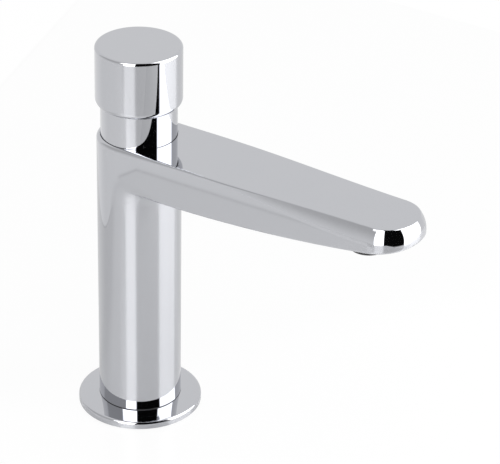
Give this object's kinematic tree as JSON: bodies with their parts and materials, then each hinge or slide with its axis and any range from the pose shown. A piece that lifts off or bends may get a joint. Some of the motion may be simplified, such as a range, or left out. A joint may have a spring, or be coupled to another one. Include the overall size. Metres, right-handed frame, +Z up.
{
  "type": "basin tap",
  "caption": "Deck-mounted basin tap with a round column, a long flat tapering spout and a push button on top that opens a self-closing cartridge.",
  "frame": {"origin": "centre of the foot's underside, on the basin's deck, over the middle of the tap hole", "axes": "+Z up along the column, spout reaching along -Y towards the user, +X to the right of a user who faces the tap"},
  "size_m": [0.057, 0.1734, 0.182],
  "materials": {
    "chrome": "polished chrome plate",
    "brass": "turned brass",
    "steel": "turned stainless steel",
    "spring_steel": "drawn spring wire",
    "mesh_steel": "perforated stainless sheet",
    "rubber": "matt moulded rubber",
    "carrier_plastic": "moulded acetal, black",
    "bush_plastic": "moulded acetal, natural",
    "aerator_plastic": "moulded grey plastic"
  },
  "bodies": {
    "tap": {"tap_body": "chrome", "base_flange": "chrome", "base_gasket": "rubber", "cartridge_housing": "brass", "upper_body_seal": "rubber", "lower_body_seal": "rubber", "valve_seat_ring": "steel", "gland_seal": "rubber", "spring_washer": "steel", "return_spring": "spring_steel", "inlet_strainer": "mesh_steel", "cartridge_head": "brass", "stem_seal": "rubber", "stem_bush": "bush_plastic", "guide_sleeve": "chrome", "sleeve_nut": "brass", "aerator_housing": "carrier_plastic", "aerator_insert": "aerator_plastic", "aerator_screen": "mesh_steel", "flow_limiter": "aerator_plastic", "aerator_washer": "rubber"},
    "button": {"push_button_cap": "chrome", "button_carrier": "carrier_plastic", "carrier_screw": "steel", "plunger_stem": "steel", "stem_clip": "spring_steel", "damping_piston": "bush_plastic", "piston_lip_ring": "rubber", "timing_pin": "steel", "valve_washer": "rubber", "washer_holder": "brass", "valve_nut": "brass"}
  },
  "joints": [
    {"name": "button_press", "type": "slide", "parent": "tap", "child": "button", "axis": [0, 0, -1], "range_m": [0, 0.008], "stiffness_N_per_m": 1200, "springref_m": -0.005, "deforming": ["return_spring"]}
  ]
}
